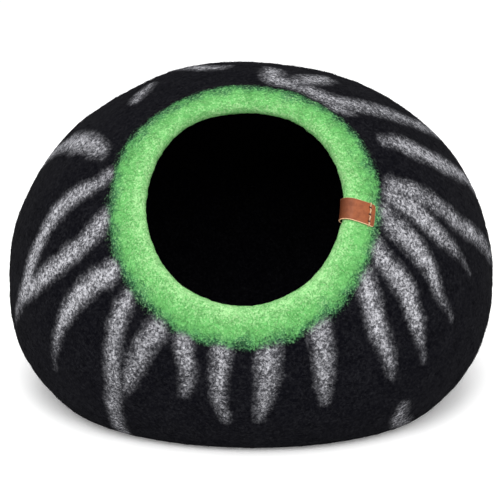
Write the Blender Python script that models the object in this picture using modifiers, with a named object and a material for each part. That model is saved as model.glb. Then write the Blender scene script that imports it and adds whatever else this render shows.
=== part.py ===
"""Felt cat cave: a round wool shell felted in one piece, with an oval mouth at the front and a thick
rolled lip, and a short leather strip folded over the lip and sewn through it.

Metres, +Z up. The cave stands on the XY plane, centred on the origin, and its mouth looks towards -Y
and up.
"""

import math

import bmesh
import bpy
from mathutils import Matrix, Vector

# Body. It is widest a third of the way up, domed above that level and pressed flat by the floor.
HALF_WIDTH = 0.2195
HALF_DEPTH = 0.2075
WIDEST_LEVEL = 0.106
CROWN_RISE = 0.1955
ROUND_DROP = 0.152
PLAN_POWER = 2.1
CROWN_POWER = 2.06
DROP_POWER = 2.3
PRESS_BLEND = 0.010
UNEVENNESS = 0.0007

# Mouth: an oval, taken as angles seen from the middle of the widest level.
MOUTH_RISE = math.radians(38.4)
MOUTH_TURN = math.radians(-2.4)
MOUTH_HALF_WIDTH = math.radians(24.1)
MOUTH_HALF_HEIGHT = math.radians(27.9)

# Felt. The wall thickens into a plump lip round the mouth.
WALL = 0.009
LIP = 0.016
LIP_REACH = 0.042
LIP_PUFF = 0.0025
LIP_ROUNDING = 0.0074

# Grid of the shell: rings run from the mouth to the middle of the underside.
SEGMENTS = 60
SPHERE_RINGS = 42
RINGS_CUT_AWAY = 7
CROWDING_AT_LIP = 0.55
LEANING_TO = math.radians(38)
LEVELLED_BY = math.radians(150)

# Leather strip, folded over the lip a little below three o'clock and turned a little on it.
STRIP_WIDTH = 0.0195
STRIP_THICKNESS = 0.0014
STRIP_LEG = 0.027
STRIP_CLOCK = math.radians(-6.3)
STRIP_TURN = -0.11
STRIP_GAP = 0.0006
STRIP_STEPS_ALONG = 36
STRIP_STEPS_ACROSS = 6

# Colours are linear RGB.
CHARCOAL = (0.010, 0.010, 0.012)
TAN = (0.40, 0.11, 0.045)


def clear_scene():
    for old in list(bpy.data.objects):
        bpy.data.objects.remove(old, do_unlink=True)


def principled(name, colour, roughness):
    material = bpy.data.materials.new(name)
    material.use_nodes = True
    shader = material.node_tree.nodes["Principled BSDF"]
    shader.inputs["Base Color"].default_value = (*colour, 1.0)
    shader.inputs["Roughness"].default_value = roughness
    shader.inputs["Metallic"].default_value = 0.0
    material.diffuse_color = (*colour, 1.0)
    return material


def smooth_step(x):
    x = min(max(x, 0.0), 1.0)
    return x * x * (3.0 - 2.0 * x)


def mouth_angle(clock):
    """Angle from the mouth's axis to its edge, at a clock angle from +X towards the top."""
    return MOUTH_HALF_WIDTH * math.cos(clock) ** 2 + MOUTH_HALF_HEIGHT * math.sin(clock) ** 2


def direction(polar, clock):
    """Direction from the body's middle. The rings' axis leans with the mouth near the lip and is
    upright by the underside, so that the rings follow both."""
    lean = math.pi / 2 - MOUTH_RISE
    lean *= min(max((LEVELLED_BY - polar) / (LEVELLED_BY - LEANING_TO), 0.0), 1.0)
    axis = Vector((0.0, -math.sin(lean), math.cos(lean)))
    right = Vector((1.0, 0.0, 0.0))
    upward = Vector((0.0, math.cos(lean), math.sin(lean)))
    aim = axis * math.cos(polar)
    aim += (right * math.cos(clock) + upward * math.sin(clock)) * math.sin(polar)
    turn_cos = math.cos(MOUTH_TURN)
    turn_sin = math.sin(MOUTH_TURN)
    return Vector((aim.x * turn_cos - aim.y * turn_sin, aim.x * turn_sin + aim.y * turn_cos, aim.z))


def radius(aim):
    """Distance from the middle to the surface: a fuller ellipsoid below than above, and the soft
    unevenness of hand felting."""
    plan = abs(aim.x / HALF_WIDTH) ** PLAN_POWER + abs(aim.y / HALF_DEPTH) ** PLAN_POWER
    plan **= 1.0 / PLAN_POWER
    if aim.z > 0.0:
        height, power = CROWN_RISE, CROWN_POWER
    else:
        height, power = ROUND_DROP, DROP_POWER
    reach = (plan**power + abs(aim.z / height) ** power) ** (-1.0 / power)
    waves = math.sin(5.0 * aim.x + 2.1 * aim.z + 0.7)
    waves += 0.8 * math.sin(4.3 * aim.y - 3.1 * aim.z + 2.2)
    waves += 0.6 * math.sin(6.5 * (aim.x + aim.y) + 1.0)
    return reach + UNEVENNESS * waves


def pressed(height):
    """Height above the floor: what would hang below it is flat on it, with a soft bend between."""
    if height <= -PRESS_BLEND:
        return 0.0
    if height >= PRESS_BLEND:
        return height
    return (height + PRESS_BLEND) ** 2 / (4.0 * PRESS_BLEND)


def surface_point(polar, clock):
    """A point of the shell's outer face, raised a little where the lip is plump."""
    aim = direction(polar, clock)
    reach = radius(aim)
    from_edge = (polar - mouth_angle(clock)) * reach
    if 0.0 < from_edge < LIP_REACH:
        reach += LIP_PUFF * math.sin(math.pi * from_edge / LIP_REACH) ** 2
    point = aim * reach
    point.z = pressed(point.z + WIDEST_LEVEL)
    return point


def collection(name):
    made = bpy.data.collections.new(name)
    bpy.context.scene.collection.children.link(made)
    return made


def make_felt_cave(home):
    """The shell: a sphere opened at its pole, drawn into the cave's outer face, given its wall
    inwards by Solidify and its round lip by Bevel."""
    bm = bmesh.new()
    bmesh.ops.create_uvsphere(bm, u_segments=SEGMENTS, v_segments=SPHERE_RINGS, radius=1.0)
    ring_angle = math.pi / SPHERE_RINGS
    cap = [v for v in bm.verts if v.co.z > math.cos((RINGS_CUT_AWAY - 0.5) * ring_angle)]
    bmesh.ops.delete(bm, geom=cap, context="VERTS")

    first = RINGS_CUT_AWAY * ring_angle
    lip_share = {}
    for vert in bm.verts:
        clock = math.atan2(vert.co.y, vert.co.x)
        along = (math.acos(min(max(vert.co.z, -1.0), 1.0)) - first) / (math.pi - first)
        along *= CROWDING_AT_LIP + (1.0 - CROWDING_AT_LIP) * along
        edge = mouth_angle(clock)
        polar = edge + (math.pi - edge) * along
        from_edge = (polar - edge) * HALF_DEPTH
        lip_share[vert.index] = 1.0 - smooth_step(from_edge / LIP_REACH)
        vert.co = surface_point(polar, clock)

    low = [min(v.co[i] for v in bm.verts) for i in (0, 1)]
    high = [max(v.co[i] for v in bm.verts) for i in (0, 1)]
    middle = Vector(((low[0] + high[0]) / 2, (low[1] + high[1]) / 2, 0.0))
    for vert in bm.verts:
        vert.co -= middle

    mesh = bpy.data.meshes.new("felt_cave")
    bm.to_mesh(mesh)
    bm.free()
    mesh.shade_smooth()
    cave = bpy.data.objects.new("felt_cave", mesh)
    cave.data.materials.append(principled("charcoal felt", CHARCOAL, 0.95))
    home.objects.link(cave)

    lip = cave.vertex_groups.new(name="lip")
    for index, share in lip_share.items():
        lip.add([index], share, "REPLACE")

    wall = cave.modifiers.new("wall", "SOLIDIFY")
    wall.thickness = LIP
    wall.offset = -1.0
    wall.use_even_offset = True
    wall.vertex_group = "lip"
    wall.thickness_vertex_group = WALL / LIP

    rounding = cave.modifiers.new("rounded lip", "BEVEL")
    rounding.width = LIP_ROUNDING
    rounding.segments = 4
    rounding.limit_method = "ANGLE"
    rounding.angle_limit = math.radians(55)
    return cave, middle


def make_leather_strip(home, cave, middle):
    """The strip: a flat grid bent into a U over the lip, drawn on to the felt with an even gap,
    then given the leather's thickness."""
    edge = mouth_angle(STRIP_CLOCK)
    stand_off = STRIP_GAP + STRIP_THICKNESS / 2
    corner = surface_point(edge, STRIP_CLOCK) - middle
    step = 0.002
    outer = surface_point(edge + STRIP_LEG / corner.length, STRIP_CLOCK) - middle
    side = surface_point(edge, STRIP_CLOCK + step) - surface_point(edge, STRIP_CLOCK - step)
    side.normalize()
    away = (outer - corner).normalized()
    out = away.cross(side).normalized()
    if out.dot(corner) < 0.0:
        out.negate()
    turned = Matrix.Rotation(STRIP_TURN, 3, out)
    away = turned @ away
    side = turned @ side

    bend_radius = LIP / 2 + stand_off
    leg = STRIP_LEG - LIP / 2
    path_length = 2 * leg + math.pi * bend_radius
    start = corner + away * (LIP / 2) - out * (LIP / 2)

    def folded(along):
        """Point of the folded strip's middle line, from the outer end round to the inner end."""
        if along < leg:
            return start + away * (leg - along) + out * bend_radius
        if along > path_length - leg:
            return start + away * (along - path_length + leg) - out * bend_radius
        turn = (along - leg) / bend_radius
        return start + (out * math.cos(turn) - away * math.sin(turn)) * bend_radius

    bm = bmesh.new()
    bmesh.ops.create_grid(bm, x_segments=STRIP_STEPS_ALONG, y_segments=STRIP_STEPS_ACROSS, size=1.0)
    for vert in bm.verts:
        along = (vert.co.x + 1.0) / 2 * path_length
        vert.co = folded(along) + side * (vert.co.y * STRIP_WIDTH / 2)
    mesh = bpy.data.meshes.new("leather_strip")
    bm.to_mesh(mesh)
    bm.free()
    mesh.shade_smooth()
    strip = bpy.data.objects.new("leather_strip", mesh)
    strip.data.materials.append(principled("tan leather", TAN, 0.55))
    home.objects.link(strip)

    hug = strip.modifiers.new("laid on the felt", "SHRINKWRAP")
    hug.target = cave
    hug.wrap_method = "NEAREST_SURFACEPOINT"
    hug.wrap_mode = "OUTSIDE_SURFACE"
    hug.offset = stand_off

    leather = strip.modifiers.new("thickness", "SOLIDIFY")
    leather.thickness = STRIP_THICKNESS
    leather.offset = 0.0
    leather.use_even_offset = True
    return strip


def main():
    clear_scene()
    home = collection("felt cat cave")
    cave, middle = make_felt_cave(home)
    make_leather_strip(home, cave, middle)


main()
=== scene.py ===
"""Felt cat cave, dressed: the felted shell with its streaks and green band, the loose wool on it, and
the leather strip with its stitches.

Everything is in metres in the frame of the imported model. The shell is worked out in two parameters: the
clock angle round the mouth, from +X towards the top, and the station, which is the distance from the
crest of the lip, positive over the outer face and negative inside the hollow.
"""

import math

import bmesh
import bpy
import numpy as np
from bpy.props import FloatProperty, FloatVectorProperty, IntProperty, PointerProperty
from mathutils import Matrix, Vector


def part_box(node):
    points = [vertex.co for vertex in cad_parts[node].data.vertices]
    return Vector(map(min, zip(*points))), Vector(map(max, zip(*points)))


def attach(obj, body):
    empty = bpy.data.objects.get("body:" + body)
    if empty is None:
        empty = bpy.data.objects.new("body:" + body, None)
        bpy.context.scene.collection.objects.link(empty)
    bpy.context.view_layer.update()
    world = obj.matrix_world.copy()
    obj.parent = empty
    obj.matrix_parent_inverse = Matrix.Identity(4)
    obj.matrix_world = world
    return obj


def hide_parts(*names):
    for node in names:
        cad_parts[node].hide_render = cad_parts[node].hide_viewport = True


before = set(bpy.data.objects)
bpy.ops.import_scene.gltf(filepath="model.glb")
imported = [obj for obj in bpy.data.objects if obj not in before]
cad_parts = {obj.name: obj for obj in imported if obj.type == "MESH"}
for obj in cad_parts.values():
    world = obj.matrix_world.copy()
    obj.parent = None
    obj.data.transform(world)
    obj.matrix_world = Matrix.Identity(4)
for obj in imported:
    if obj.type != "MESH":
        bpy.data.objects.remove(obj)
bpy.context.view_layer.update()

bl_info = {
    "name": "Felt Cat Cave",
    "version": (1, 0, 0),
    "blender": (4, 5, 0),
    "location": "View3D > Sidebar > Felt Cave",
    "description": "Makes a wet-felted cat cave with streaks, a green lip and a sewn leather strip",
    "category": "Object",
}

# The body, as in the part's source.
HALF_WIDTH = 0.2195
HALF_DEPTH = 0.2075
WIDEST_LEVEL = 0.106
CROWN_RISE = 0.1955
ROUND_DROP = 0.152
PLAN_POWER = 2.1
CROWN_POWER = 2.06
DROP_POWER = 2.3
PRESS_BLEND = 0.010
UNEVENNESS = 0.0007

# The mouth, as angles seen from the middle of the widest level.
MOUTH_RISE = math.radians(38.4)
MOUTH_TURN = math.radians(-2.4)
MOUTH_HALF_WIDTH = math.radians(24.1)
MOUTH_HALF_HEIGHT = math.radians(27.9)

# The felt's thickness and its lip.
WALL = 0.009
LIP = 0.016
LIP_REACH = 0.042
LIP_PUFF = 0.0025
LEANING_TO = math.radians(38)
LEVELLED_BY = math.radians(150)

# The round of the lip begins this far from its crest, and the way over its quarter is this long.
LIP_BULGE = 0.008
QUARTER = LIP_BULGE * math.pi / 2

# The felt's unevenness is a sum of plane waves: length in metres, how many, and their height together.
WAVE_SEED = 11
WAVES = ((0.090, 12, 0.55), (0.030, 16, 0.16), (0.014, 22, 0.14), (0.0085, 22, 0.11))

# The grid that measures the outer face, and how the shell's rows crowd towards the lip.
FACE_COLUMNS = 361
FACE_ROWS = 240
CROWDING = 0.55

# The green band is a little wider at both sides of the mouth, more so at the left, and its wool thins
# out over a shorter way at its inner edge than at its outer one.
BAND_AT_SIDES = 0.0015
BAND_TO_LEFT = 0.0005
INNER_THINNING = 1.6

# The wools' tones, by which the settings and the shader group's sockets are named.
WOOL_TONES = ("charcoal", "charcoal_light", "grey", "grey_light", "green_dark", "green", "green_light")

# Finish of the wool: the size of its crinkles, their depth on the felt and on a strand, and its sheen.
CRINKLE_SIZE = 0.0026
FELT_NAP = 0.0005
STRAND_NAP = 0.0001
SHEEN = 0.01

# Loose wool: for each, the stations between which it lies, the places tried for each strand, and the
# strands' greatest length and lift from the felt.
LOOSE_WOOLS = {
    "charcoal": ((0.03, 0.62, 4), 0.010, 0.0012),
    "grey": ((0.03, 0.32, 14), 0.008, 0.0007),
    "green": ((-0.016, 0.05, 3), 0.008, 0.0007),
}
STRAND_SEED = 29
STRAND_POINTS = 4
STRAND_CORNERS = 3
STRAND_CURL = 0.28

# Where no strand grows: near the middle of the underside, and beside and along the strip.
BARE_UNDERSIDE = 0.04
BARE_BESIDE = 0.014
BARE_ALONG = 0.036

# The strip's place on the lip, the rounding of its edge, its finely divided ends, and the points of its
# grid across a face, over an edge, along an end and between the ends.
STRIP_CLOCK = math.radians(-6.3)
EDGE_ROUNDING = 0.00035
FINE_END = 0.006
ACROSS_FACE = 61
OVER_EDGE = 5
ALONG_END = 27
BETWEEN_ENDS = 108

# A pressed hole's radius and depth.
HOLE_RADIUS = 0.0011
HOLE_DEPTH = 0.0011

# Stitches: the steps along one and round it, how far its end lies beside the middle of its hole, the
# length of one turn of its two plies, and how much they stand out, as a share of the thread's radius. In
# thread radii: how deep an end sinks under the leather's face, and how far the middle of a run and of a
# hem lies above it.
STITCH_STEPS = 33
STITCH_SIDES = 16
STITCH_DIVE = 0.0006
PLY_TURN = 0.0021
PLY_RELIEF = 0.16
STITCH_SUNK = 2.4
RUN_PROUD = 1.2
HEM_PROUD = 1.0

# The stage: half the floor's side, its drop below the felt, the point that the camera goes round, the
# point that it looks at, and each light's place, size and target.
FLOOR_REACH = 30.0
FLOOR_DROP = 0.0002
CAMERA_PIVOT = (0.0, 0.0, 0.15)
CAMERA_TARGET = (-0.0008, 0.0, 0.1321)
LIGHTS = {
    "key light": ((-0.45, -2.3, 2.0), 1.5, (0.0, 0.0, 0.15)),
    "fill light": ((0.7, -2.3, 1.8), 1.6, (0.0, 0.0, 0.15)),
    "top light": ((0.0, -0.7, 2.8), 2.4, (0.0, 0.0, 0.0)),
}

# Streaks of grey wool, each as its points: clock in degrees, millimetres from the mouth's edge over the
# outer face, half width in millimetres, and the amount of wool laid there, one for an even layer. The
# last five lie on the back.
STREAKS = (
    ((158, 58, 8, 1.0), (157, 94, 12, 1.1), (157, 141, 12, 1.1), (160, 190, 10, 1.0), (163, 240, 3, 1.0)),
    ((168, 38, 6, 1.6), (181, 88, 10, 1.5), (190, 117, 9, 1.9), (199, 150, 9, 2.1), (200, 176, 6, 1.5)),
    ((188, 37, 9, 1.3), (198, 76, 9, 1.7), (202, 125, 9, 2.1), (200, 177, 7, 1.3), (200, 205, 1, 1.0)),
    ((209, 42, 9, 1.8), (211, 68, 10, 1.8), (214, 98, 8, 2.1), (217, 129, 5, 1.8), (220, 165, -1, 1.0)),
    ((221, 41, 5, 2.0), (226, 62, 8, 1.7), (232, 90, 7, 1.4), (237, 114, 7, 1.3)),
    ((237, 114, 7, 1.3), (238, 153, 7, 1.4), (238, 182, 6, 1.4)),
    ((238, 42, 10, 1.3), (239, 68, 9, 0.9), (240, 94, 7, 1.0), (240, 112, 4, 0.9)),
    ((248, 38, 8, 1.7), (254, 66, 6, 1.0), (255, 88, 3, 0.9)),
    ((263, 39, 8, 1.3), (264, 78, 6, 1.3), (266, 108, 3, 1.0)),
    ((280, 39, 11, 0.8), (277, 75, 8, 0.9), (274, 105, 3, 1.1)),
    ((301, 37, 9, 1.3), (294, 74, 8, 1.05), (291, 104, 3, 1.0)),
    ((327, 38, 9, 1.2), (315, 74, 8, 1.8), (310, 112, 4, 1.2), (309, 126, -1, 1.0)),
    ((340, 34, 8, 1.3), (331, 74, 9, 1.8), (324, 100, 8, 1.9), (320, 124, 3, 1.2), (318, 138, -1, 1.0)),
    ((356, 37, 10, 0.8), (348, 64, 11, 1.1), (340, 92, 8, 1.8), (334, 114, 4, 1.4), (331, 144, -1, 1.0)),
    ((365, 44, 10, 0.9), (356, 77, 10, 1.4), (350, 105, 7, 1.8), (347, 136, 3, 1.0), (345, 152, -1, 1.0)),
    ((369, 49, 9, 0.9), (361, 98, 9, 0.9), (357, 134, 9, 1.3), (358, 199, 8, 1.2), (360, 250, 3, 1.0)),
    ((28, 60, 6, 0.9), (22, 91, 12, 1.1), (16, 136, 10, 1.4), (16, 205, 9, 1.3), (18, 262, 3, 1.0)),
    ((67, 43, 10, 0.8), (53, 52, 11, 0.7), (40, 93, 12, 0.7), (33, 134, 9, 1.1)),
    ((33, 134, 9, 1.1), (31, 184, 9, 1.0), (32, 250, 3, 1.0)),
    ((60, 38, 5, 0.8), (52, 40, 8, 0.8), (45, 50, 3, 0.8)),
    ((83, 82, 6, 1.0), (80, 52, 12, 0.8), (72, 43, 8, 0.8)),
    ((64, 98, 9, 1.0), (66, 78, 12, 0.8), (71, 55, 9, 0.8)),
    ((120, 160, 5, 0.8), (111, 125, 8, 0.9), (106, 98, 9, 1.0), (100, 90, 7, 0.8)),
    ((134, 80, 5, 1.2), (131, 90, 8, 1.2), (128, 99, 7, 1.2), (125, 109, 4, 1.0)),
    ((310, 162, 3, 1.0), (310, 183, 7, 1.1), (314, 213, 7, 1.0)),
    ((70, 300, 3, 0.8), (66, 360, 8, 0.9), (63, 420, 5, 0.8)),
    ((112, 290, 3, 0.8), (117, 350, 8, 0.9), (120, 410, 5, 0.8)),
    ((92, 330, 5, 0.8), (90, 390, 9, 0.9), (89, 450, 3, 0.8)),
    ((150, 290, 5, 0.8), (152, 340, 7, 1.0), (153, 380, 3, 0.8)),
    ((36, 310, 3, 0.8), (32, 355, 7, 1.0), (30, 400, 3, 0.8)),
)

# Points along a streak's curve, steps by which the outer face is measured down to the underside, and
# what stands for being far from any streak and from the band.
STREAK_SAMPLES = 30
FACE_STEPS = 500
STREAK_NONE = -0.05
BAND_NONE = 0.5

# The relief fades in above the floor: where it begins, and the height over which it grows.
RELIEF_FROM = 0.002
RELIEF_OVER = 0.02


def smooth_step(x):
    """Cubic ease from zero to one, flat before and after."""
    x = np.clip(x, 0.0, 1.0)
    return x * x * (3.0 - 2.0 * x)


def unit(vectors):
    """Vectors divided by their lengths."""
    length = np.linalg.norm(vectors, axis=-1, keepdims=True)
    return vectors / np.maximum(length, 1e-12)


def mouth_angle(clock):
    """Angle from the mouth's axis to its edge: half the width across, half the height upright."""
    return MOUTH_HALF_WIDTH * np.cos(clock) ** 2 + MOUTH_HALF_HEIGHT * np.sin(clock) ** 2


def direction(polar, clock):
    """Unit vector at an angle from an axis that leans with the mouth and is upright by the underside."""
    share = np.clip((LEVELLED_BY - polar) / (LEVELLED_BY - LEANING_TO), 0.0, 1.0)
    lean = (math.pi / 2 - MOUTH_RISE) * share
    across = np.cos(clock) * np.sin(polar)
    upward = np.sin(clock) * np.sin(polar)
    forward = -np.sin(lean) * np.cos(polar) + np.cos(lean) * upward
    height = np.cos(lean) * np.cos(polar) + np.sin(lean) * upward
    x = across * math.cos(MOUTH_TURN) - forward * math.sin(MOUTH_TURN)
    y = across * math.sin(MOUTH_TURN) + forward * math.cos(MOUTH_TURN)
    return np.stack([x, y, height], axis=-1)


def radius(aim):
    """Distance from the middle to the surface: an ellipsoid fuller below than above, with three slow
    waves for the unevenness of hand felting."""
    x, y, z = aim[..., 0], aim[..., 1], aim[..., 2]
    plan = np.abs(x / HALF_WIDTH) ** PLAN_POWER + np.abs(y / HALF_DEPTH) ** PLAN_POWER
    plan = plan ** (1.0 / PLAN_POWER)
    height = np.where(z > 0.0, CROWN_RISE, ROUND_DROP)
    power = np.where(z > 0.0, CROWN_POWER, DROP_POWER)
    reach = (plan**power + np.abs(z / height) ** power) ** (-1.0 / power)
    waves = np.sin(5.0 * x + 2.1 * z + 0.7) + 0.8 * np.sin(4.3 * y - 3.1 * z + 2.2)
    return reach + UNEVENNESS * (waves + 0.6 * np.sin(6.5 * (x + y) + 1.0))


def pressed(height):
    """Height above the floor: zero where the round would hang below it, with a parabola between."""
    bend = (height + PRESS_BLEND) ** 2 / (4.0 * PRESS_BLEND)
    return np.where(height <= -PRESS_BLEND, 0.0, np.where(height >= PRESS_BLEND, height, bend))


def body_point(polar, clock):
    """Point of the outer face before it is centred: direction times radius, plus a sine-squared puff
    beside the mouth, pressed flat by the floor."""
    aim = direction(polar, clock)
    reach = radius(aim)
    from_edge = np.clip((polar - mouth_angle(clock)) * reach / LIP_REACH, 0.0, 1.0)
    point = aim * (reach + LIP_PUFF * np.sin(math.pi * from_edge) ** 2)[..., None]
    point[..., 2] = pressed(point[..., 2] + WIDEST_LEVEL)
    return point


def centre_shift():
    """What brings the middle of the outer face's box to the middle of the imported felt's box."""
    polar, clock = np.meshgrid(
        np.linspace(MOUTH_HALF_HEIGHT, math.pi, FACE_ROWS), np.linspace(0.0, math.tau, FACE_COLUMNS)
    )
    flat = body_point(polar, clock).reshape(-1, 3)
    low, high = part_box("felt_cave")
    packed = (np.array(low) + np.array(high)) / 2
    shift = packed - (flat.min(axis=0) + flat.max(axis=0)) / 2
    shift[2] = 0.0
    return shift


SHIFT = centre_shift()


def outer_frame(polar, clock):
    """Point of the outer face, its outward normal and the direction towards the mouth, by central
    differences."""
    step = 1e-4
    point = body_point(polar, clock) + SHIFT
    down = body_point(polar + step, clock) - body_point(polar - step, clock)
    along = body_point(polar, clock + step) - body_point(polar, clock - step)
    normal = np.cross(down, along)
    at_pole = np.linalg.norm(normal, axis=-1, keepdims=True) < 1e-13
    normal = np.where(at_pole, np.array([0.0, 0.0, -1.0]), unit(normal))
    return point, normal, -unit(down)


def edge_reach(clock):
    """Distance from the middle to the mouth's edge."""
    return radius(direction(mouth_angle(clock), clock))


def polar_at(station, clock):
    """Polar angle of a station: the lip's round takes up the first quarter, and beyond it the angle
    grows with the distance over the reach."""
    reach = edge_reach(clock)
    beyond = np.maximum(np.abs(station) - QUARTER, 0.0) + LIP_BULGE
    return np.minimum(mouth_angle(clock) + beyond / reach, math.pi)


def last_station(clock):
    """Station of the middle of the underside."""
    return QUARTER - LIP_BULGE + (math.pi - mouth_angle(clock)) * edge_reach(clock)


def wave_set():
    """Plane waves of each length in even random directions: rows of wave vector, phase and height."""
    draw = np.random.default_rng(WAVE_SEED)
    rows = []
    for length, count, height in WAVES:
        vectors = unit(draw.normal(size=(count, 3))) * math.tau / length
        vectors *= draw.uniform(0.8, 1.25, size=(count, 1))
        phases = draw.uniform(0.0, math.tau, size=(count, 1))
        heights = np.full((count, 1), height / math.sqrt(count / 2))
        rows.append(np.hstack([vectors, phases, heights]))
    return np.vstack(rows)


WAVE_ROWS = wave_set()


def relief(point):
    """Height of the felt's uneven face, about one at its highest: the sum of the plane waves."""
    flat = point.reshape(-1, 3)
    total = np.zeros(len(flat))
    for row in WAVE_ROWS:
        total += row[4] * np.sin(flat @ row[:3] + row[3])
    return total.reshape(point.shape[:-1])


def thickness_at(polar, clock):
    """The lip's thickness at the edge, easing to the wall's over the lip's reach."""
    from_edge = (polar - mouth_angle(clock)) * HALF_DEPTH
    return WALL + (LIP - WALL) * (1.0 - smooth_step(from_edge / LIP_REACH))


def felt(station, clock, unevenness):
    """Point and outward normal of the felt: the outer face, half an ellipse over the lip, and the outer
    face less the thickness inside, each raised along its normal by the relief. The underside stays
    flat."""
    polar = polar_at(station, clock)
    point, normal, mouthward = outer_frame(polar, clock)
    half = (thickness_at(polar, clock) / 2)[..., None]
    turn = np.clip(math.pi / 2 * (1.0 - station / QUARTER), 0.0, math.pi)[..., None]
    centre = point - normal * half
    place = centre + normal * half * np.cos(turn) + mouthward * LIP_BULGE * np.sin(turn)
    facing = unit(normal * np.cos(turn) * LIP_BULGE + mouthward * np.sin(turn) * half)
    if unevenness:
        lifted = smooth_step((place[..., 2] - RELIEF_FROM) / RELIEF_OVER)
        place = place + facing * (relief(place) * lifted * unevenness)[..., None]
    return place, facing


def from_mouth(station):
    """Distance from the mouth's edge over the outer face, negative inside the hollow."""
    beyond = np.maximum(np.abs(station) - QUARTER, 0.0)
    within = np.minimum(np.abs(station), QUARTER) * LIP_BULGE / QUARTER
    return np.sign(station) * (within + beyond)


def band_depth(station, clock, settings):
    """Signed distance from the edge of the green band, negative in the green: the greater of the two
    from its outer edge, which is farthest out below the mouth, and from its inner one."""
    width = settings.band_width - settings.band_droop * np.sin(clock)
    width = width + BAND_AT_SIDES * np.cos(clock) ** 2 - BAND_TO_LEFT * np.cos(clock)
    return np.maximum(from_mouth(station) - width, (-station - settings.band_inside) * INNER_THINNING)


def through(rows, samples):
    """Smooth curve through rows of values: a cubic between each two whose slope at each row is half the
    step from the row before it to the row after it."""
    rows = np.vstack([2 * rows[0] - rows[1], rows, 2 * rows[-1] - rows[-2]])
    place = np.linspace(0.0, len(rows) - 3 - 1e-9, samples)
    index = place.astype(int)
    t = (place - index)[:, None]
    before, here, after, beyond = [rows[index + k] for k in range(4)]
    slope = after - before
    bend = 2 * before - 5 * here + 4 * after - beyond
    twist = beyond - before + 3 * (here - after)
    return here + (slope * t + bend * t**2 + twist * t**3) / 2


def streak_points(streak):
    """Points in space along a streak, with its half width and the amount of wool laid at each: a smooth
    curve through its own points, put at their distance along the outer face."""
    clock, distance, half, laid = through(np.array(streak, float), STREAK_SAMPLES).T
    clock, distance, half = np.radians(clock), distance / 1000, half / 1000
    edge = mouth_angle(clock)
    polar = edge[:, None] + (math.pi - edge[:, None]) * np.linspace(0.0, 1.0, FACE_STEPS)
    line = body_point(polar, np.broadcast_to(clock[:, None], polar.shape))
    run = np.cumsum(np.linalg.norm(np.diff(line, axis=1), axis=2), axis=1)
    index = np.minimum((run < distance[:, None]).sum(axis=1), run.shape[1] - 1)
    return line[np.arange(len(clock)), index] + SHIFT, half, laid


def streak_depth(point):
    """Signed depth into the nearest streak: its half width less the distance to its middle line, and
    inside it that depth times the amount of wool laid there."""
    flat = point.reshape(-1, 3)
    deepest = np.full(len(flat), STREAK_NONE)
    for streak in STREAKS:
        places, halves, laid = streak_points(streak)
        square = (flat**2).sum(1)[:, None] + (places**2).sum(1) - 2.0 * flat @ places.T
        depths = halves - np.sqrt(np.maximum(square, 0.0))
        nearest = depths.argmax(axis=1)
        depth = depths[np.arange(len(flat)), nearest]
        depth = np.where(depth > 0.0, depth * laid[nearest], depth)
        deepest = np.maximum(deepest, depth)
    return deepest.reshape(point.shape[:-1])


def new_mesh(name, points, faces, attributes):
    """Mesh of the points and of arrays of faces, in which each face is a row of corners."""
    corners = np.concatenate([kind.ravel() for kind in faces])
    sizes = np.concatenate([np.full(len(kind), kind.shape[1]) for kind in faces])
    mesh = bpy.data.meshes.new(name)
    mesh.vertices.add(len(points))
    mesh.vertices.foreach_set("co", np.asarray(points, np.float32).ravel())
    mesh.loops.add(len(corners))
    mesh.loops.foreach_set("vertex_index", np.asarray(corners, np.int32))
    mesh.polygons.add(len(sizes))
    starts = np.concatenate([[0], np.cumsum(sizes)[:-1]]).astype(np.int32)
    mesh.polygons.foreach_set("loop_start", starts)
    mesh.update(calc_edges=True)
    mesh.validate()
    mesh.shade_smooth()
    for key, values in attributes.items():
        layer = mesh.attributes.new(key, "FLOAT", "POINT")
        layer.data.foreach_set("value", np.asarray(values, np.float32).ravel())
    return mesh


def new_object(name, data):
    """Object in the scene, of a mesh, a light or a camera."""
    made = bpy.data.objects.new(name, data)
    bpy.context.scene.collection.objects.link(made)
    return made


def new_piece(name, mesh, material):
    """Puts a mesh into the scene as a piece that rides with the cave."""
    piece = new_object(name, mesh)
    mesh.materials.append(material)
    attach(piece, "root")
    return piece


def tube_faces(rows, columns, first=0):
    """Quads between the rows of a grid whose columns close on themselves."""
    index = first + np.arange(rows * columns).reshape(rows, columns)
    beside = np.roll(index, -1, axis=1)
    quads = np.stack([index[:-1], beside[:-1], beside[1:], index[1:]], axis=-1)
    return quads.reshape(-1, 4)


def fan_faces(ring, pole):
    """Triangles between a closed ring and a pole."""
    return np.stack([ring, np.roll(ring, -1), np.full(len(ring), pole)], axis=-1)


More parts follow.
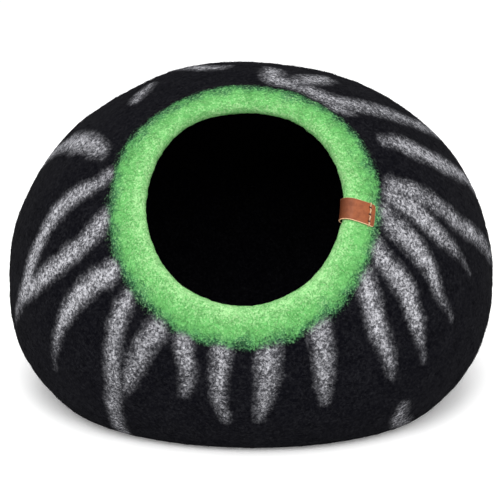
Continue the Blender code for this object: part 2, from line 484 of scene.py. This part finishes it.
class Board:
    """A node tree to add to."""

    def __init__(self, tree):
        self.tree = tree

    def feed(self, node, feeds):
        """Gives a node its inputs: a value that is a socket is linked, and any other is set."""
        for key, value in feeds.items():
            if isinstance(value, bpy.types.NodeSocket):
                self.tree.links.new(value, node.inputs[key])
            else:
                node.inputs[key].default_value = value

    def node(self, kind, feeds=None, **settings):
        made = self.tree.nodes.new(kind)
        for key, value in settings.items():
            setattr(made, key, value)
        self.feed(made, feeds or {})
        return made

    def math(self, operation, *values, clamp=False):
        feeds = dict(enumerate(values))
        made = self.node("ShaderNodeMath", feeds, operation=operation, use_clamp=clamp)
        return made.outputs[0]

    def blend(self, factor, first, second):
        """Colour from the first to the second, which are a Mix node's inputs 6 and 7."""
        return self.node("ShaderNodeMix", {0: factor, 6: first, 7: second}, data_type="RGBA").outputs[2]

    def attribute(self, name):
        return self.node("ShaderNodeAttribute", attribute_name=name).outputs["Fac"]

    def span(self, value, low, high, start=0.0, end=1.0, curve="SMOOTHSTEP"):
        feeds = {0: value, 1: low, 2: high, 3: start, 4: end}
        return self.node("ShaderNodeMapRange", feeds, interpolation_type=curve).outputs[0]

    def noise(self, vector, scale, detail=2.0, roughness=0.5, distortion=0.0):
        feeds = {"Vector": vector, "Scale": scale, "Detail": detail}
        feeds.update({"Roughness": roughness, "Distortion": distortion})
        return self.node("ShaderNodeTexNoise", feeds).outputs[0]


def new_material(name):
    """Empty material with its board and its shader."""
    material = bpy.data.materials.new(name)
    material.use_nodes = True
    return material, Board(material.node_tree), material.node_tree.nodes["Principled BSDF"]


def opaque(colour):
    """Colour with an alpha of one."""
    return (*colour, 1.0)


def label(key):
    """A setting's key as the name of a socket."""
    return key.replace("_", " ").title()


def crinkles(board, size):
    """Crinkled wool, in fibres of a size in metres: the height of its nap, which is cloudy noise mixed
    with curly ridges, the same as a share, slow clouds, and fine grain."""
    places = board.node("ShaderNodeTexCoord").outputs["Object"]
    spread = {0: places, "Scale": board.math("DIVIDE", 1.0, size)}
    scaled = board.node("ShaderNodeVectorMath", spread, operation="SCALE").outputs[0]
    tufts = board.noise(scaled, 1.0, 3.0, 0.6, 0.5)
    curls = board.noise(scaled, 0.8, 1.0, 0.5, 1.3)
    bent = board.math("ABSOLUTE", board.math("SUBTRACT", curls, 0.5))
    ridges = board.math("SUBTRACT", 1.0, board.math("MULTIPLY", bent, 5.0), clamp=True)
    ridges = board.math("MULTIPLY", ridges, 0.18)
    height = board.math("ADD", board.math("MULTIPLY", tufts, 0.75), ridges)
    cloud = board.noise(scaled, 0.16, 2.0, 0.5)
    grain = board.noise(scaled, 2.0, 2.0, 0.6, 0.6)
    return height, board.span(height, 0.32, 0.70, curve="LINEAR"), cloud, grain


def wool_group():
    """Shader group of laid wool: charcoal, streaks whose pale fibres grow denser towards the middle, and a
    green band that breaks into tufts at its edge. The green gets darker towards its outer edge and lighter
    towards the crest of the lip: partly the wool's own tone, partly painted shade and painted highlight of
    the lip's round."""
    known = bpy.data.node_groups.get("laid wool")
    if known:
        return known
    tree = bpy.data.node_groups.new("laid wool", "ShaderNodeTree")
    sockets = [(key, "INPUT", "Float") for key in ("Size", "Band", "Streak")]
    sockets += [(label(key), "INPUT", "Color") for key in WOOL_TONES]
    sockets += [("Color", "OUTPUT", "Color"), ("Height", "OUTPUT", "Float")]
    for key, way, kind in sockets:
        tree.interface.new_socket(key, in_out=way, socket_type=f"NodeSocket{kind}")
    board = Board(tree)
    given = board.node("NodeGroupInput").outputs
    height, crinkle, cloud, grain = crinkles(board, given["Size"])
    uneven = board.math("SUBTRACT", cloud, 0.5)
    curly = board.math("SUBTRACT", crinkle, 0.5)
    grain = board.math("SUBTRACT", grain, 0.5)
    glint = board.math("ADD", crinkle, board.math("SUBTRACT", cloud, 0.4))
    black = board.blend(board.math("MULTIPLY", crinkle, glint), given["Charcoal"], given["Charcoal Light"])
    sway = board.math("MULTIPLY", uneven, 0.008)
    depth = board.math("ADD", given["Streak"], sway)
    density = board.span(depth, -0.0055, 0.0075)
    pale = board.math("MULTIPLY", density, board.math("ADD", crinkle, 0.50), clamp=True)
    level = board.span(depth, 0.0, 0.025, 0.0, 0.75, curve="LINEAR")
    shine = board.math("ADD", board.math("MULTIPLY", crinkle, 0.80), level)
    shine = board.math("SUBTRACT", shine, 0.02, clamp=True)
    shine = board.math("MULTIPLY", shine, shine, clamp=True)
    grey = board.blend(shine, given["Grey"], given["Grey Light"])
    streaked = board.blend(pale, black, grey)
    tufted = board.math("MULTIPLY", curly, 0.008)
    tufted = board.math("ADD", tufted, board.math("MULTIPLY", grain, 0.006))
    rim = board.math("ADD", board.math("SUBTRACT", given["Band"], tufted), sway)
    inside = board.span(rim, 0.005, -0.006)
    # Share of Green Light: random grain, and a rise towards the crest that is partly the wool's tone and
    # partly painted highlight.
    green_highlight = board.math("MULTIPLY", curly, 0.5)
    green_highlight = board.math("ADD", green_highlight, board.math("MULTIPLY", grain, 1.95))
    green_highlight = board.math("ADD", green_highlight, board.math("MULTIPLY", uneven, 0.8))
    green_highlight = board.math("ADD", green_highlight, board.span(rim, -0.006, -0.044, 0.05, 0.95))
    # Green Dark towards the band's outer edge: thin green wool over charcoal, and partly painted shade of
    # the lip's round.
    thin = board.math("ADD", rim, board.math("MULTIPLY", uneven, 0.020))
    low = board.blend(board.span(thin, 0.002, -0.014), given["Green Dark"], given["Green"])
    green = board.blend(board.span(green_highlight, 0.1, 1.3, curve="LINEAR"), low, given["Green Light"])
    board.node("NodeGroupOutput", {"Color": board.blend(inside, streaked, green), "Height": height})
    return tree


def wool_material(name, settings, depth):
    """Laid wool over the piece's own band and streak attributes, with a nap of a depth in metres."""
    material, board, shader = new_material(name)
    feeds = {"Size": CRINKLE_SIZE, "Band": board.attribute("band"), "Streak": board.attribute("streak")}
    feeds.update({label(key): opaque(getattr(settings, key)) for key in WOOL_TONES})
    wool = board.node("ShaderNodeGroup", feeds, node_tree=wool_group()).outputs
    bump = {"Strength": 1.0, "Distance": depth, "Height": wool["Height"]}
    raised = board.node("ShaderNodeBump", bump).outputs["Normal"]
    board.feed(shader, {"Base Color": wool["Color"], "Normal": raised, "Roughness": 0.95})
    board.feed(shader, {"Specular IOR Level": 0.0, "Sheen Weight": SHEEN, "Sheen Roughness": 0.5})
    return material


def crowded(share):
    """Shares of the way from the lip, drawn together near it by a square."""
    return share * (CROWDING + (1.0 - CROWDING) * share)


def make_felt_shell(settings, colours):
    """The shell as one closed grid: columns are clock angles, and rows run from the middle of the
    underside up the outer face, over the lip and back down the inside."""
    columns = settings.columns
    clock = np.linspace(0.0, math.tau, columns, endpoint=False)
    last = last_station(clock)[None, :]
    down = np.linspace(1.0, 0.0, settings.outer_rows + 1)[1:, None]
    outer = QUARTER + (last - QUARTER) * crowded(down)
    over = np.linspace(1.0, -1.0, settings.lip_rows + 1)[1:, None] * QUARTER + 0.0 * last
    back = np.linspace(0.0, 1.0, settings.inner_rows + 1)[1:-1, None]
    inner = -QUARTER - (last - QUARTER) * crowded(back)
    station = np.vstack([outer, over, inner])
    clocks = np.broadcast_to(clock, station.shape)
    point, _ = felt(station, clocks, settings.unevenness)
    poles, _ = felt(last[0, 0] * np.array([1.0, -1.0]), np.zeros(2), settings.unevenness)
    points = np.vstack([point.reshape(-1, 3), poles])
    ring = np.arange(columns)
    pole = len(station) * columns
    low_fan = fan_faces(ring, pole)[:, ::-1]
    inner_fan = fan_faces(ring + pole - columns, pole + 1)
    faces = [tube_faces(*station.shape), low_fan, inner_fan]

    band = band_depth(station, clocks, colours)
    streak = np.where(station > 0.0, streak_depth(point), STREAK_NONE)
    attributes = {
        "band": np.append(band, [BAND_NONE] * 2),
        "streak": np.append(streak, [STREAK_NONE] * 2),
    }
    return new_mesh("felt_shell", points, faces, attributes)


def number(name, description, default, unit="LENGTH"):
    """Setting for a number, in metres unless another unit is given."""
    digits = 5 if unit == "LENGTH" else 2
    return FloatProperty(name=name, description=description, default=default, unit=unit, precision=digits)


class FeltShellSettings(bpy.types.PropertyGroup):
    """Grid and relief of the felted shell."""

    columns: IntProperty(name="Columns", description="Grid columns round the mouth", default=420, min=24)
    outer_rows: IntProperty(name="Outer Rows", description="Grid rows over the outer face", default=174)
    lip_rows: IntProperty(name="Lip Rows", description="Grid rows over the lip", default=18)
    inner_rows: IntProperty(name="Inner Rows", description="Grid rows inside the hollow", default=44)
    unevenness: number("Unevenness", "Height of the felt's uneven face", 0.00075)
    resist: number("Resist", "Width of the round template that the wool was laid over", 0.55)


def colour_property(name, description, default):
    """Setting for a colour in linear RGB."""
    return FloatVectorProperty(name=name, description=description, subtype="COLOR", default=default)


class WoolSettings(bpy.types.PropertyGroup):
    """Colours of the wool and the width of the green band."""

    charcoal: colour_property("Charcoal", "Darkest body wool", (0.0019, 0.0019, 0.0031))
    charcoal_light: colour_property(
        "Charcoal Light", "Body fibres that catch light", (0.0105, 0.0105, 0.0125)
    )
    grey: colour_property("Grey", "Shaded streak wool", (0.055, 0.055, 0.062))
    grey_light: colour_property("Grey Light", "Pale streak wool", (0.52, 0.52, 0.55))
    # Green Dark and Green Light also carry painted shade towards the band's outer edge and painted
    # highlight towards the crest.
    green_dark: colour_property("Green Dark", "Thin green wool over charcoal", (0.034, 0.130, 0.054))
    green: colour_property("Green", "Green wool of the band", (0.102, 0.325, 0.092))
    green_light: colour_property("Green Light", "Green fibres that catch light", (0.338, 0.565, 0.265))
    band_width: number("Band Width", "Mean width of the green band", 0.030)
    band_droop: number("Band Droop", "How much wider the band is below the mouth than beside it", 0.005)
    band_inside: number("Band Inside", "How far the green goes past the crest", 0.020)


class LooseWoolSettings(bpy.types.PropertyGroup):
    """Loose fibres on the felt."""

    strands: IntProperty(name="Strands", description="Strands of each of the three wools", default=8800)
    thickness: number("Thickness", "Thickness of a strand", 0.00022)


class StripSettings(bpy.types.PropertyGroup):
    """The leather strip and its stitches."""

    width: number("Width", "Width of the strip", 0.0195)
    thickness: number("Thickness", "Thickness of the leather", 0.0014)
    reach: number("Reach", "From the crest of the lip to each end", 0.030)
    turn: number("Turn", "How far the strip is turned on the lip", -0.11, "ROTATION")
    askew: number("Askew", "Slope by which the outer end is cut off square", 0.13, "NONE")
    gap: number("Gap", "Between the leather and the felt", 0.0003)
    corner: number("Corner", "Radius of the strip's corners", 0.0022)
    leather: colour_property("Leather", "Face of the leather", (0.220, 0.060, 0.018))
    leather_dark: colour_property("Leather Dark", "Shaded pores and worn parts", (0.105, 0.026, 0.009))
    # Painted shade where the strip turns over the lip.
    fold_shade: colour_property("Leather Fold", "Painted shade where the strip turns over the lip", (0.062, 0.016, 0.006))
    # Hole: painted shade at the bottom of a pressed hole.
    hole: colour_property("Hole", "Bottom of a pressed hole", (0.045, 0.014, 0.006))
    cut_edge: colour_property("Cut Edge", "Pale cut side of the leather", (0.62, 0.38, 0.22))
    thread: colour_property("Thread", "Waxed thread", (0.50, 0.32, 0.175))
    stitch_inset: number("Stitch Inset", "From the strip's end to its stitches", 0.0045)
    stitch_length: number("Stitch Length", "Between two holes", 0.0062)
    thread_radius: number("Thread Radius", "Half the thread's thickness", 0.00055)


class StageSettings(bpy.types.PropertyGroup):
    """Camera, lights and floor."""

    distance: number("Distance", "From the camera to the cave", 2.0)
    elevation: number("Elevation", "Camera above the cave", math.radians(16), "ROTATION")
    lens: number("Lens", "Focal length in millimetres", 158.1, "NONE")
    surround: number("Surround", "Light from all sides", 0.55, "NONE")
    key: number("Key", "Power of the main light", 52.0, "POWER")
    fill: number("Fill", "Power of the second light", 30.0, "POWER")
    overhead: number("Overhead", "Power of the top light", 60.0, "POWER")


class CAVE_OT_felt_shell(bpy.types.Operator):
    """Make the felted shell with its lip, streaks and green band"""

    bl_idname = "cave.felt_shell"
    bl_label = "Felt Shell"

    def execute(self, context):
        settings, colours = context.scene.cave_shell, context.scene.cave_wool
        mesh = make_felt_shell(settings, colours)
        material = wool_material("felted wool", colours, FELT_NAP)
        shell = new_piece("felt_shell", mesh, material)
        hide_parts("felt_cave")
        return {"FINISHED"}


def grows(wool, band, streak):
    """Where a loose wool lies: charcoal outside the band and the streaks, grey in the streaks, green in
    the band."""
    if wool == "charcoal":
        return (band > 0.004) & (streak < 0.0)
    if wool == "grey":
        return (band > 0.0) & (streak > 0.0)
    return band < -0.002


def scatter(draw, count, wool, colours):
    """Random stations and clock angles on the felt where a wool grows, evenly over its area: each place
    tried gets a random number raised to the inverse of its area, and the highest are kept."""
    low, high, tries_each = LOOSE_WOOLS[wool][0]
    tries = count * tries_each
    clock = draw.uniform(0.0, math.tau, tries)
    station = draw.uniform(low, high, tries)
    point, _ = felt(station, clock, 0.0)
    step = 1e-3
    down = felt(station + step, clock, 0.0)[0] - point
    side = felt(station, clock + step, 0.0)[0] - point
    per_station = np.linalg.norm(down, axis=-1) / step
    per_clock = np.linalg.norm(side, axis=-1) / step
    band = band_depth(station, clock, colours)
    streak = np.where(station > 0.0, streak_depth(point), STREAK_NONE)
    area = grows(wool, band, streak) * per_station * per_clock
    area = area * (station < last_station(clock) - BARE_UNDERSIDE)
    from_strip = np.abs(np.angle(np.exp(1j * (clock - STRIP_CLOCK)))) * per_clock
    area = area * ((from_strip > BARE_BESIDE) | (np.abs(station) > BARE_ALONG))
    order = draw.uniform(0.0, 1.0, tries) ** (area.max() / np.maximum(area, 1e-9))
    chosen = np.argsort(-order)[:count]
    return [values[chosen] for values in (station, clock, per_station, per_clock, band, streak)]


def make_strands(wool, draw, scene):
    """Thin strands as three-sided tubes: each runs from a root along a heading on the felt, curls to one
    side by a sine, rises from the face by another, and tapers to its tip."""
    settings, shell = scene.cave_loose, scene.cave_shell
    _, length, lift = LOOSE_WOOLS[wool]
    found = scatter(draw, settings.strands, wool, scene.cave_wool)
    station, clock, per_station, per_clock, band, streak = found
    count = len(station)
    along = np.linspace(0.0, 1.0, STRAND_POINTS)
    run = draw.uniform(0.5, 1.0, (count, 1)) * length * along
    heading = draw.uniform(0.0, math.tau, (count, 1))
    curl = draw.normal(0.0, STRAND_CURL, (count, 1)) * length * np.sin(math.pi * along * 1.3)
    ahead = run * np.cos(heading) - curl * np.sin(heading)
    aside = run * np.sin(heading) + curl * np.cos(heading)
    stations = station[:, None] + ahead / per_station[:, None]
    clocks = clock[:, None] + aside / np.maximum(per_clock, 0.02)[:, None]
    point, normal = felt(stations, clocks, shell.unevenness)
    rise = draw.uniform(0.1, 1.0, (count, 1)) ** 2 * lift
    loose = draw.uniform(0.0, 1.0, (count, 1)) < 0.5
    height = np.where(loose, rise * along, rise * 0.6 * np.sin(math.pi * along)) + 0.00004
    centre = point + normal * height[..., None]
    centre[..., 2] = np.maximum(centre[..., 2], settings.thickness)
    tangent = unit(np.gradient(centre, axis=1))
    side = unit(np.cross(tangent, normal))
    upright = np.cross(side, tangent)
    thin = settings.thickness / 2 * draw.uniform(0.6, 1.2, (count, 1)) * (1.0 - 0.6 * along**2)
    turn = np.arange(STRAND_CORNERS) * math.tau / STRAND_CORNERS + math.pi / 2
    ring = side[:, :, None] * np.cos(turn)[:, None] + upright[:, :, None] * np.sin(turn)[:, None]
    points = centre[:, :, None] + ring * thin[:, :, None, None]

    each = STRAND_POINTS * STRAND_CORNERS
    base = np.arange(count)[:, None, None] * each
    quads = tube_faces(STRAND_POINTS, STRAND_CORNERS)[:, ::-1]
    root = np.arange(STRAND_CORNERS)
    caps = np.stack([root, each - 1 - root])
    faces = [(quads + base).reshape(-1, 4), (caps + base).reshape(-1, STRAND_CORNERS)]
    fade = np.tile(np.repeat(along, STRAND_CORNERS), count)
    attributes = {
        "band": np.repeat(band, each) + 0.003 * fade,
        "streak": np.repeat(streak, each) - 0.008 * fade,
    }
    return new_mesh(f"loose_wool_{wool}", points.reshape(-1, 3), faces, attributes)


class CAVE_OT_loose_wool(bpy.types.Operator):
    """Make the loose charcoal, grey and green fibres on the felt"""

    bl_idname = "cave.loose_wool"
    bl_label = "Loose Wool"

    def execute(self, context):
        scene = context.scene
        draw = np.random.default_rng(STRAND_SEED)
        material = wool_material("loose wool", scene.cave_wool, STRAND_NAP)
        for wool in LOOSE_WOOLS:
            mesh = make_strands(wool, draw, scene)
            new_piece(mesh.name, mesh, material)
        return {"FINISHED"}


def strip_place(along, across, height, settings, shell):
    """Place on the folded strip: the sheet's own coordinates, sheared a little towards the outer end, are
    turned on the lip, laid on the felt, and lifted off it along the felt's normal."""
    along = along - settings.askew * across * smooth_step(along / settings.reach)
    station = along * math.cos(settings.turn) - across * math.sin(settings.turn)
    aside = along * math.sin(settings.turn) + across * math.cos(settings.turn)
    clock = np.full(station.shape, STRIP_CLOCK)
    step = 1e-3
    side = felt(station, clock + step, 0.0)[0] - felt(station, clock - step, 0.0)[0]
    clock = clock + aside / (np.linalg.norm(side, axis=-1) / (2 * step))
    point, normal = felt(station, clock, 0.0)
    lift = settings.gap + settings.thickness / 2 + shell.unevenness
    return point + normal * (lift + height)[..., None]


def make_strip(settings, shell):
    """The strip as a closed profile carried along its length: a flat rounded oblong across, narrower at
    the ends by the corner's circle and thinner by the edge's, with a pit at each hole."""
    half_width, half_thick = settings.width / 2, settings.thickness / 2
    arc = np.linspace(0.0, math.pi, OVER_EDGE + 2)[1:-1]
    inner = half_width - EDGE_ROUNDING
    face = np.linspace(-inner, inner, ACROSS_FACE)
    edge = inner + EDGE_ROUNDING * np.sin(arc)
    across = np.concatenate([face, edge, -face, -edge])
    level = np.concatenate([np.ones(ACROSS_FACE), np.cos(arc)])
    upright = np.concatenate([level, -level])
    ends = FINE_END * (np.sin(np.linspace(-math.pi / 2, math.pi / 2, ALONG_END)) * 0.5 + 0.5)
    length = 2 * settings.reach
    middle = np.linspace(FINE_END, length - FINE_END, BETWEEN_ENDS + 2)[1:-1]
    along = np.concatenate([ends, middle, length - ends[::-1]]) - settings.reach
    to_end = settings.reach - np.abs(along)
    short = np.maximum(settings.corner - to_end, 0.0)
    narrow = settings.corner - np.sqrt(np.maximum(settings.corner**2 - short**2, 0.0))
    slim = np.maximum(EDGE_ROUNDING - to_end, 0.0) / EDGE_ROUNDING
    flat = np.sqrt(np.maximum(1.0 - slim**2, 0.0))
    width_share = (half_width - narrow) / half_width
    aligned = along[:, None] + 0.0 * across
    beside = across * width_share[:, None]
    height = upright * half_thick * flat[:, None]
    nearest = np.full(aligned.shape, 1.0)
    end = settings.reach - settings.stitch_inset
    for sign in (1.0, -1.0):
        for hole in (-1.0, 0.0, 1.0):
            away = np.hypot(aligned - sign * end, beside - hole * settings.stitch_length)
            nearest = np.minimum(nearest, away)
    pit = np.exp(-((nearest / HOLE_RADIUS) ** 2)) * HOLE_DEPTH
    point = strip_place(aligned, beside, height - pit, settings, shell)
    border = np.minimum(to_end[:, None], half_width * width_share[:, None] - np.abs(beside))
    faces = [tube_faces(*aligned.shape)]
    attributes = {"border": border, "hole": nearest, "along": aligned}
    return welded(new_mesh("strip", point.reshape(-1, 3), faces, attributes))


def welded(mesh):
    """Mesh with the points that fall together made one, and its faces turned outwards."""
    bm = bmesh.new()
    bm.from_mesh(mesh)
    bmesh.ops.remove_doubles(bm, verts=bm.verts, dist=1e-6)
    bmesh.ops.recalc_face_normals(bm, faces=bm.faces)
    bm.to_mesh(mesh)
    bm.free()
    mesh.shade_smooth()
    return mesh


def leather_material(settings):
    """Leather: mottled face with fine pores, with painted shade where it is folded over the lip, pale cut
    edges that have a darker line beside them, and painted shade in the holes."""
    material, board, shader = new_material("strip leather")
    places = board.node("ShaderNodeTexCoord").outputs["Object"]
    border, along = board.attribute("border"), board.attribute("along")
    dark = opaque(settings.leather_dark)
    blotch = board.noise(places, 260.0, 3.0, 0.55)
    cells = board.node("ShaderNodeTexVoronoi", {"Vector": places, "Scale": 1500.0}, feature="F1")
    pores = board.span(cells.outputs["Distance"], 0.15, 0.75)
    fine = board.noise(places, 2600.0, 2.0, 0.6)
    shade = board.math("MULTIPLY", board.span(blotch, 0.3, 0.75), 0.6)
    shade = board.math("ADD", shade, board.math("MULTIPLY", fine, 0.2), clamp=True)
    face = board.blend(shade, opaque(settings.leather), dark)
    # Painted shade: darker near the crest, where the strip turns over the lip.
    folded = board.span(board.math("ABSOLUTE", along), 0.002, 0.015, 0.8, 0.0)
    face = board.blend(folded, face, opaque(settings.fold_shade))
    fray = board.math("MULTIPLY", board.math("SUBTRACT", fine, 0.5), 0.0003)
    frayed = board.math("ADD", border, fray)
    crease = board.math("MULTIPLY", board.span(frayed, 0.0014, 0.0004), 0.45)
    creased = board.blend(crease, face, dark)
    edged = board.blend(board.span(frayed, 0.00042, 0.00022), creased, opaque(settings.cut_edge))
    # Painted shade at the bottom of each pressed hole.
    hole_shaded = board.blend(board.span(board.attribute("hole"), 0.0014, 0.0009), edged, opaque(settings.hole))
    height = board.math("ADD", pores, board.math("MULTIPLY", fine, 0.6))
    grain = board.node("ShaderNodeBump", {"Strength": 0.6, "Distance": 0.00012, "Height": height})
    rough = board.span(blotch, 0.3, 0.7, 0.42, 0.62)
    board.feed(shader, {"Base Color": hole_shaded, "Roughness": rough, "Normal": grain.outputs["Normal"]})
    board.feed(shader, {"Specular IOR Level": 0.2})
    return material


class CAVE_OT_leather_strip(bpy.types.Operator):
    """Make the leather strip folded over the lip"""

    bl_idname = "cave.leather_strip"
    bl_label = "Leather Strip"

    def execute(self, context):
        settings = context.scene.cave_strip
        mesh = make_strip(settings, context.scene.cave_shell)
        strip = new_piece("strip", mesh, leather_material(settings))
        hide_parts("leather_strip")
        return {"FINISHED"}


def stitch_paths(settings):
    """Middle lines of an end's stitches, as (across, height): a run between two holes rises and dives by
    a sine. A hem rises out of the outer hole in a quarter of its way, lies on the leather, and bends
    down over the strip's edge by a cosine in the last two fifths."""
    radius, face = settings.thread_radius, settings.thickness / 2
    spacing, over = settings.stitch_length, settings.width / 2 + radius
    dive = STITCH_DIVE
    t = np.linspace(0.0, 1.0, STITCH_STEPS)[:, None]
    emerge = np.sin(np.clip(4.0 * t, 0.0, 1.0) * math.pi / 2)
    drop = 1.0 - np.cos(np.clip((t - 0.6) / 0.4, 0.0, 1.0) * math.pi / 2)
    run = face + radius * ((STITCH_SUNK + RUN_PROUD) * np.sin(math.pi * t) - STITCH_SUNK)
    hem = face + radius * ((STITCH_SUNK + HEM_PROUD) * emerge - STITCH_SUNK) - 2.0 * (face + radius) * drop
    paths = []
    for low, high in ((dive - spacing, -dive), (dive, spacing - dive)):
        paths.append((low + (high - low) * t, run))
    for low, high in ((-spacing - dive, -over), (spacing + dive, over)):
        paths.append((low + (high - low) * np.sin(math.pi / 2 * t), hem))
    return paths


def make_stitches(settings, shell):
    """Stitches as twisted two-ply tubes round their middle lines: a circle whose radius swells twice a
    round, turned along the thread, and closed by a fan at either end."""
    end = settings.reach - settings.stitch_inset
    turn = np.linspace(0.0, math.tau, STITCH_SIDES, endpoint=False)[None, :]
    points, faces, first = [], [], 0
    for sign in (1.0, -1.0):
        for across, height in stitch_paths(settings):
            twist = turn * 2 - math.tau * 2 * (across / PLY_TURN)
            ply = settings.thread_radius * (1.0 + PLY_RELIEF * np.cos(twist))
            along = sign * end + ply * np.cos(turn)
            rise = height + ply * np.sin(turn)
            place = strip_place(along, across + 0.0 * turn, rise, settings, shell)
            points.append(np.vstack([place.reshape(-1, 3), place[[0, -1]].mean(axis=1)]))
            ring = first + np.arange(STITCH_SIDES)
            pole = first + STITCH_STEPS * STITCH_SIDES
            faces.append(tube_faces(STITCH_STEPS, STITCH_SIDES, first))
            faces.append(fan_faces(ring, pole)[:, ::-1])
            faces.append(fan_faces(ring + pole - first - STITCH_SIDES, pole + 1))
            first = pole + 2
    return welded(new_mesh("stitches", np.vstack(points), faces, {}))


def thread_material(settings):
    """Waxed thread: pale, mottled with finer and darker fibres."""
    material, board, shader = new_material("waxed thread")
    places = board.node("ShaderNodeTexCoord").outputs["Object"]
    fine = board.noise(places, 3200.0, 2.0, 0.6)
    red, green, blue = settings.thread
    dark = opaque((red * 0.55, green * 0.5, blue * 0.45))
    colour = board.blend(board.span(fine, 0.35, 0.65), dark, opaque(settings.thread))
    fibre = board.node("ShaderNodeBump", {"Strength": 0.5, "Distance": 0.00008, "Height": fine})
    board.feed(shader, {"Base Color": colour, "Normal": fibre.outputs["Normal"], "Roughness": 0.6})
    return material


class CAVE_OT_stitches(bpy.types.Operator):
    """Make the stitches that hold the leather strip"""

    bl_idname = "cave.stitches"
    bl_label = "Stitches"

    def execute(self, context):
        settings = context.scene.cave_strip
        mesh = make_stitches(settings, context.scene.cave_shell)
        new_piece("stitches", mesh, thread_material(settings))
        return {"FINISHED"}


def look_at(thing, target):
    """Turns a camera or a light to a point."""
    way = Vector(target) - thing.location
    thing.rotation_euler = way.to_track_quat("-Z", "Y").to_euler()


def make_light(name, power):
    """Square light at its own place, of a power in watts."""
    place, size, target = LIGHTS[name]
    light = bpy.data.lights.new(name, "AREA")
    light.shape = "SQUARE"
    light.size = size
    light.energy = power
    lamp = new_object(name, light)
    lamp.location = place
    look_at(lamp, target)


def make_floor():
    """Plain square floor that glows a little, to stay pale."""
    mesh = bpy.data.meshes.new("floor")
    corners = [(x * FLOOR_REACH, y * FLOOR_REACH, 0) for x, y in ((-1, -1), (1, -1), (1, 1), (-1, 1))]
    mesh.from_pydata(corners, [], [(0, 1, 2, 3)])
    floor = new_object("floor", mesh)
    floor.location.z = -FLOOR_DROP
    material, board, shader = new_material("pale floor")
    board.feed(shader, {"Base Color": opaque((0.94, 0.94, 0.94)), "Roughness": 0.9})
    board.feed(shader, {"Specular IOR Level": 0.1, "Emission Strength": 0.2})
    board.feed(shader, {"Emission Color": opaque((1.0, 1.0, 1.0))})
    mesh.materials.append(material)


def make_camera(settings):
    """Camera at its distance and elevation from the point that it goes round."""
    camera = new_object("camera", bpy.data.cameras.new("camera"))
    camera.data.sensor_width = 36.0
    camera.data.sensor_fit = "HORIZONTAL"
    camera.data.lens = settings.lens
    back = settings.distance * math.cos(settings.elevation)
    up = settings.distance * math.sin(settings.elevation)
    camera.location = Vector(CAMERA_PIVOT) + Vector((0.0, -back, up))
    look_at(camera, CAMERA_TARGET)
    bpy.context.scene.camera = camera


class CAVE_OT_stage(bpy.types.Operator):
    """Make the pale floor, the soft lights and the camera"""

    bl_idname = "cave.stage"
    bl_label = "Stage"

    def execute(self, context):
        scene = context.scene
        settings = scene.cave_stage
        make_floor()
        world = bpy.data.worlds.new("studio")
        scene.world = world
        world.use_nodes = True
        background = world.node_tree.nodes["Background"]
        background.inputs["Color"].default_value = opaque((1.0, 1.0, 1.0))
        background.inputs["Strength"].default_value = settings.surround
        make_light("key light", settings.key)
        make_light("fill light", settings.fill)
        make_light("top light", settings.overhead)
        make_camera(settings)
        scene.view_settings.view_transform = "Standard"
        return {"FINISHED"}


class CAVE_PT_sidebar(bpy.types.Panel):
    """Lists the cave's pieces and their settings"""

    bl_idname = "CAVE_PT_sidebar"
    bl_label = "Felt Cave"
    bl_space_type = "VIEW_3D"
    bl_region_type = "UI"
    bl_category = "Felt Cave"

    def draw(self, context):
        for operator, groups in STEPS.items():
            self.layout.operator(operator)
            for group in groups:
                settings = getattr(context.scene, group)
                for key in type(settings).__annotations__:
                    self.layout.prop(settings, key)


STEPS = {
    "cave.felt_shell": ("cave_shell", "cave_wool"),
    "cave.loose_wool": ("cave_loose",),
    "cave.leather_strip": ("cave_strip",),
    "cave.stitches": (),
    "cave.stage": ("cave_stage",),
}
GROUPS = {
    "cave_shell": FeltShellSettings,
    "cave_wool": WoolSettings,
    "cave_loose": LooseWoolSettings,
    "cave_strip": StripSettings,
    "cave_stage": StageSettings,
}
CLASSES = (
    *GROUPS.values(),
    CAVE_OT_felt_shell,
    CAVE_OT_loose_wool,
    CAVE_OT_leather_strip,
    CAVE_OT_stitches,
    CAVE_OT_stage,
    CAVE_PT_sidebar,
)


def register():
    for kind in CLASSES:
        bpy.utils.register_class(kind)
    for key, group in GROUPS.items():
        setattr(bpy.types.Scene, key, PointerProperty(type=group))


def unregister():
    for key in GROUPS:
        delattr(bpy.types.Scene, key)
    for kind in reversed(CLASSES):
        bpy.utils.unregister_class(kind)


def main():
    register()
    bpy.ops.cave.felt_shell()
    bpy.ops.cave.loose_wool()
    bpy.ops.cave.leather_strip()
    bpy.ops.cave.stitches()
    bpy.ops.cave.stage()


if __name__ == "__main__":
    main()
